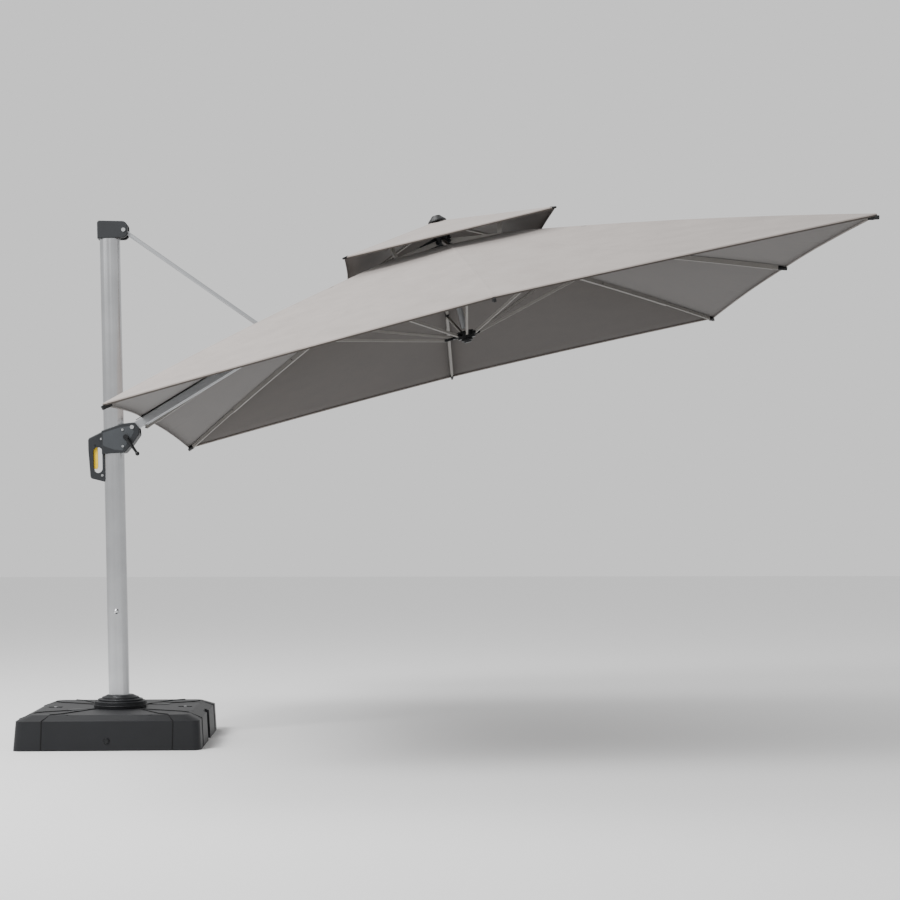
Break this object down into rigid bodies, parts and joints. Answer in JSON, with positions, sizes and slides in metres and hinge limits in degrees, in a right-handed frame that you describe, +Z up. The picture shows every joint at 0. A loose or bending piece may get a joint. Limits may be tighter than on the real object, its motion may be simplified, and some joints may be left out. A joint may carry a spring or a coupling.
{
  "type": "patio umbrella with base",
  "caption": "Cantilever patio umbrella: square double-top canopy on ribs, hung from a raked mast with sliding handle, crank, strut and ballast base.",
  "frame": {"origin": "centre of the base's underside, on the ground, under the foot of the mast", "axes": "+Z up, +X from the mast towards the canopy, +Y to the far side"},
  "size_m": [3.4822, 3.083, 2.4169],
  "materials": {
    "hdpe_black": "matte",
    "sand": "matte",
    "galvanised_steel": "satin",
    "bright_steel": "polished",
    "satin_aluminium": "satin",
    "charcoal_plastic": "matte",
    "grey_plastic": "matte",
    "yellow_plastic": "satin",
    "black_plastic": "matte",
    "cord_black": "matte",
    "canopy_cloth": "matte"
  },
  "bodies": {
    "base": {"ballast_tank": "hdpe_black", "sand_fill": "sand", "cross_frame": "galvanised_steel", "pivot_post": "galvanised_steel", "filler_cap_front": "black_plastic", "filler_cap_back": "black_plastic", "drain_plug": "black_plastic", "anchor_bolt_west": "bright_steel", "anchor_bolt_east": "bright_steel"},
    "mast": {"turn_plate": "galvanised_steel", "foot_cover": "black_plastic", "mast_lower": "satin_aluminium", "mast_upper": "satin_aluminium", "joint_sleeve": "galvanised_steel", "mast_bolt": "bright_steel", "mast_cap": "charcoal_plastic", "strut_bolt": "bright_steel"},
    "slider": {"slider_housing": "charcoal_plastic", "panel_near": "grey_plastic", "panel_far": "grey_plastic", "arm_bolt": "bright_steel"},
    "grip_lever": {"grip_lever": "yellow_plastic"},
    "crank": {"crank_handle": "black_plastic", "winch_drum": "galvanised_steel"},
    "arm": {"arm_tube": "satin_aluminium", "arm_root": "black_plastic", "lift_cord": "cord_black", "top_hub": "black_plastic", "centre_tube": "satin_aluminium", "finial": "black_plastic", "main_canopy": "canopy_cloth", "vent_canopy": "canopy_cloth"},
    "strut": {"strut_tube": "satin_aluminium", "strut_eye": "charcoal_plastic", "strut_fork": "black_plastic"},
    "runner": {"runner": "black_plastic", "runner_knob": "black_plastic"},
    "rib_east": {"rib_east": "satin_aluminium"},
    "brace_east": {"brace_east": "satin_aluminium"},
    "rib_north_east": {"rib_north_east": "satin_aluminium", "vent_rib_north_east": "satin_aluminium"},
    "brace_north_east": {"brace_north_east": "satin_aluminium"},
    "rib_north": {"rib_north": "satin_aluminium"},
    "brace_north": {"brace_north": "satin_aluminium"},
    "rib_north_west": {"rib_north_west": "satin_aluminium", "vent_rib_north_west": "satin_aluminium"},
    "brace_north_west": {"brace_north_west": "satin_aluminium"},
    "rib_west": {"rib_west": "satin_aluminium"},
    "brace_west": {"brace_west": "satin_aluminium"},
    "rib_south_west": {"rib_south_west": "satin_aluminium", "vent_rib_south_west": "satin_aluminium"},
    "brace_south_west": {"brace_south_west": "satin_aluminium"},
    "rib_south": {"rib_south": "satin_aluminium"},
    "brace_south": {"brace_south": "satin_aluminium"},
    "rib_south_east": {"rib_south_east": "satin_aluminium", "vent_rib_south_east": "satin_aluminium"},
    "brace_south_east": {"brace_south_east": "satin_aluminium"}
  },
  "joints": [
    {"name": "mast_turn", "type": "hinge", "parent": "base", "child": "mast", "pos_m": [0, 0, 0.2], "axis": [0, 0, 1], "continuous": true},
    {"name": "slider_travel", "type": "slide", "parent": "mast", "child": "slider", "axis": [-0.0307, 0, 0.9995], "range_m": [-0.1, 0.28]},
    {"name": "arm_swing", "type": "hinge", "parent": "slider", "child": "arm", "pos_m": [0.04512, 0, 1.41956], "axis": [0, 1, 0], "range_deg": [-4.77, 13.33]},
    {"name": "strut_swing", "type": "hinge", "parent": "mast", "child": "strut", "pos_m": [-0.00347, 0, 2.32699], "axis": [0, 1, 0], "range_deg": [-9.23, 3.31]},
    {"name": "grip_squeeze", "type": "hinge", "parent": "slider", "child": "grip_lever", "pos_m": [-0.1251, 0, 1.33629], "axis": [0, 1, 0], "range_deg": [0, 4.5], "stiffness_Nm_per_rad": 2, "springref_deg": -5.73},
    {"name": "rib_east_fold", "type": "hinge", "parent": "arm", "child": "rib_east", "pos_m": [1.51451, 0, 2.29514], "axis": [0, 1, 0], "range_deg": [0, 68.53], "deforming": ["main_canopy", "vent_canopy"]},
    {"name": "brace_east_fold", "type": "hinge", "parent": "rib_east", "child": "brace_east", "pos_m": [2.28692, 0, 2.23153], "axis": [0, 1, 0], "range_deg": [-142.03, 0.01]},
    {"name": "rib_north_east_fold", "type": "hinge", "parent": "arm", "child": "rib_north_east", "pos_m": [1.50031, 0.03536, 2.29155], "axis": [-0.6855, 0.7071, -0.1735], "range_deg": [-0.01, 65.3]},
    {"name": "brace_north_east_fold", "type": "hinge", "parent": "rib_north_east", "child": "brace_north_east", "pos_m": [2.05799, 0.56157, 2.23282], "axis": [-0.6855, 0.7071, -0.1735], "range_deg": [-127.47, 0.01]},
    {"name": "rib_north_fold", "type": "hinge", "parent": "arm", "child": "rib_north", "pos_m": [1.46604, 0.05, 2.28287], "axis": [-0.9694, 0, -0.2454], "range_deg": [-0.01, 68.54]},
    {"name": "brace_north_fold", "type": "hinge", "parent": "rib_north", "child": "brace_north", "pos_m": [1.52769, 0.78318, 2.03933], "axis": [-0.9694, 0, -0.2454], "range_deg": [-142.03, 0.01]},
    {"name": "rib_north_west_fold", "type": "hinge", "parent": "arm", "child": "rib_north_west", "pos_m": [1.43176, 0.03536, 2.2742], "axis": [-0.6855, -0.7071, -0.1735], "range_deg": [-0.01, 65.3]},
    {"name": "brace_north_west_fold", "type": "hinge", "parent": "rib_north_west", "child": "brace_north_west", "pos_m": [0.96919, 0.56157, 1.9572], "axis": [-0.6855, -0.7071, -0.1735], "range_deg": [-127.47, 0.01]},
    {"name": "rib_west_fold", "type": "hinge", "parent": "arm", "child": "rib_west", "pos_m": [1.38364, 0.042, 2.26201], "axis": [0, -1, 0], "range_deg": [-0.01, 67]},
    {"name": "brace_west_fold", "type": "hinge", "parent": "rib_west", "child": "brace_west", "pos_m": [0.73551, 0.042, 1.83251], "axis": [0, -1, 0], "range_deg": [-139.77, 0.01]},
    {"name": "rib_south_west_fold", "type": "hinge", "parent": "arm", "child": "rib_south_west", "pos_m": [1.43176, -0.03536, 2.2742], "axis": [0.6855, -0.7071, 0.1735], "range_deg": [-0.01, 65.3]},
    {"name": "brace_south_west_fold", "type": "hinge", "parent": "rib_south_west", "child": "brace_south_west", "pos_m": [0.96919, -0.56157, 1.9572], "axis": [0.6855, -0.7071, 0.1735], "range_deg": [-127.47, 0.01]},
    {"name": "rib_south_fold", "type": "hinge", "parent": "arm", "child": "rib_south", "pos_m": [1.46604, -0.05, 2.28287], "axis": [0.9694, 0, 0.2454], "range_deg": [-0.01, 68.54]},
    {"name": "brace_south_fold", "type": "hinge", "parent": "rib_south", "child": "brace_south", "pos_m": [1.52769, -0.78318, 2.03933], "axis": [0.9694, 0, 0.2454], "range_deg": [-142.03, 0.01]},
    {"name": "rib_south_east_fold", "type": "hinge", "parent": "arm", "child": "rib_south_east", "pos_m": [1.50031, -0.03536, 2.29155], "axis": [0.6855, 0.7071, 0.1735], "range_deg": [-0.01, 65.3]},
    {"name": "brace_south_east_fold", "type": "hinge", "parent": "rib_south_east", "child": "brace_south_east", "pos_m": [2.05799, -0.56157, 2.23282], "axis": [0.6855, 0.7071, 0.1735], "range_deg": [-127.47, 0.01]},
    {"name": "runner_level", "type": "hinge", "parent": "brace_east", "child": "runner", "pos_m": [1.63218, 0, 1.87105], "axis": [0, 1, 0], "range_deg": [-0.01, 73.5]},
    {"name": "crank_turn", "type": "hinge", "parent": "slider", "child": "crank", "pos_m": [0.01985, 0, 1.37276], "axis": [0, 1, 0], "range_deg": [-1, 6355.03]}
  ],
  "couplings": [
    {"joint": "arm_swing", "follows": "slider_travel", "rad_per_m": 0.8302},
    {"joint": "strut_swing", "follows": "slider_travel", "rad_per_m": -0.575},
    {"joint": "brace_east_fold", "follows": "rib_east_fold", "ratio": -2.0723},
    {"joint": "rib_north_east_fold", "follows": "rib_east_fold", "ratio": 0.95273},
    {"joint": "brace_north_east_fold", "follows": "rib_east_fold", "ratio": -1.8599},
    {"joint": "rib_north_fold", "follows": "rib_east_fold", "ratio": 1},
    {"joint": "brace_north_fold", "follows": "rib_east_fold", "ratio": -2.0723},
    {"joint": "rib_north_west_fold", "follows": "rib_east_fold", "ratio": 0.95273},
    {"joint": "brace_north_west_fold", "follows": "rib_east_fold", "ratio": -1.8599},
    {"joint": "rib_west_fold", "follows": "rib_east_fold", "ratio": 0.97757},
    {"joint": "brace_west_fold", "follows": "rib_east_fold", "ratio": -2.0394},
    {"joint": "rib_south_west_fold", "follows": "rib_east_fold", "ratio": 0.95273},
    {"joint": "brace_south_west_fold", "follows": "rib_east_fold", "ratio": -1.8599},
    {"joint": "rib_south_fold", "follows": "rib_east_fold", "ratio": 1},
    {"joint": "brace_south_fold", "follows": "rib_east_fold", "ratio": -2.0723},
    {"joint": "rib_south_east_fold", "follows": "rib_east_fold", "ratio": 0.95273},
    {"joint": "brace_south_east_fold", "follows": "rib_east_fold", "ratio": -1.8599},
    {"joint": "runner_level", "follows": "rib_east_fold", "ratio": 1.0723},
    {"joint": "crank_turn", "follows": "rib_east_fold", "ratio": 92.719}
  ]
}
